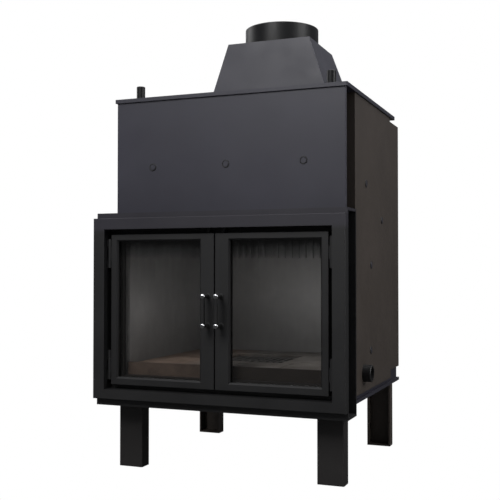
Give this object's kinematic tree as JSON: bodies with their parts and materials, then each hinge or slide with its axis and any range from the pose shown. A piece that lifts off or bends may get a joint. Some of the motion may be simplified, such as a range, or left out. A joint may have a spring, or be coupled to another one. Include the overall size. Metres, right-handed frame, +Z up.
{
  "type": "water_heating_fireplace_insert",
  "caption": "Black steel water-heating fireplace insert on legs, with two glazed doors, a smoke hood and a round flue collar",
  "frame": {"origin": "on the floor under the middle of the whole, handles and back included", "axes": "+X to the right as seen from the front, +Y to the back, +Z up"},
  "size_m": [0.616, 0.645, 1.129],
  "materials": {
    "black_paint": "matte black heat-proof paint",
    "slate_paint": "matte slate-black heat-proof paint",
    "side_paint": "matte warm dark grey heat-proof paint",
    "collar_paint": "gloss black enamel",
    "bare_steel": "dark painted steel",
    "zinc_steel": "zinc-plated",
    "chrome": "polished",
    "glass": "clear ceramic glass",
    "rope": "dark glass-fibre rope and tape",
    "firebrick": "rough fired clay",
    "liner": "pale refractory board",
    "cast_iron": "as cast"
  },
  "bodies": {
    "insert": {"air_spigot": "zinc_steel", "ash_pan": "bare_steel", "back_liner": "liner", "ball_catches": "black_paint", "base_plate": "slate_paint", "brick_floor": "firebrick", "door_seat": "black_paint", "floor_plate": "bare_steel", "flue_collar": "collar_paint", "frame_jambs": "black_paint", "frame_ledges": "black_paint", "frame_plate": "black_paint", "front_frame": "black_paint", "front_left_leg": "slate_paint", "front_plate": "slate_paint", "front_right_leg": "slate_paint", "front_water_wall": "slate_paint", "grate": "cast_iron", "hinge_pins": "black_paint", "left_hinge_knuckles": "black_paint", "left_liner": "liner", "left_water_wall": "side_paint", "leg_bolts": "zinc_steel", "log_guard": "black_paint", "neck_plates": "black_paint", "plinth": "slate_paint", "rear_left_leg": "slate_paint", "rear_right_leg": "slate_paint", "rear_water_wall": "side_paint", "return_sockets": "bare_steel", "right_hinge_knuckles": "black_paint", "right_liner": "liner", "right_water_wall": "side_paint", "sensor_pocket": "bare_steel", "smoke_hood": "slate_paint", "stay_ends": "slate_paint", "top_nipples": "bare_steel", "top_plate": "slate_paint", "upper_baffle": "bare_steel", "water_shelf": "bare_steel"},
    "left_door": {"left_door_frame": "black_paint", "left_glass_tape": "rope", "left_glass": "glass", "left_glass_retainer": "black_paint", "left_retainer_screws": "zinc_steel", "left_rope_seal": "rope", "left_handle_posts": "chrome", "left_handle_grip": "black_paint"},
    "right_door": {"right_door_frame": "black_paint", "right_glass_tape": "rope", "right_glass": "glass", "right_glass_retainer": "black_paint", "right_retainer_screws": "zinc_steel", "right_rope_seal": "rope", "right_handle_posts": "chrome", "right_handle_grip": "black_paint"},
    "air_flap_body": {"flap_shaft": "zinc_steel", "air_flap": "zinc_steel", "flap_screws": "zinc_steel", "flap_lever": "zinc_steel"}
  },
  "joints": [
    {"name": "left_door_hinge", "type": "hinge", "parent": "insert", "child": "left_door", "pos_m": [-0.2719, -0.284, 0.381], "axis": [0, 0, -1], "range_deg": [0, 90]},
    {"name": "right_door_hinge", "type": "hinge", "parent": "insert", "child": "right_door", "pos_m": [0.2719, -0.284, 0.381], "axis": [0, 0, 1], "range_deg": [0, 90]},
    {"name": "air_flap_hinge", "type": "hinge", "parent": "insert", "child": "air_flap_body", "pos_m": [0, 0.2145, 0.137], "axis": [-1, 0, 0], "range_deg": [0, 85]}
  ]
}
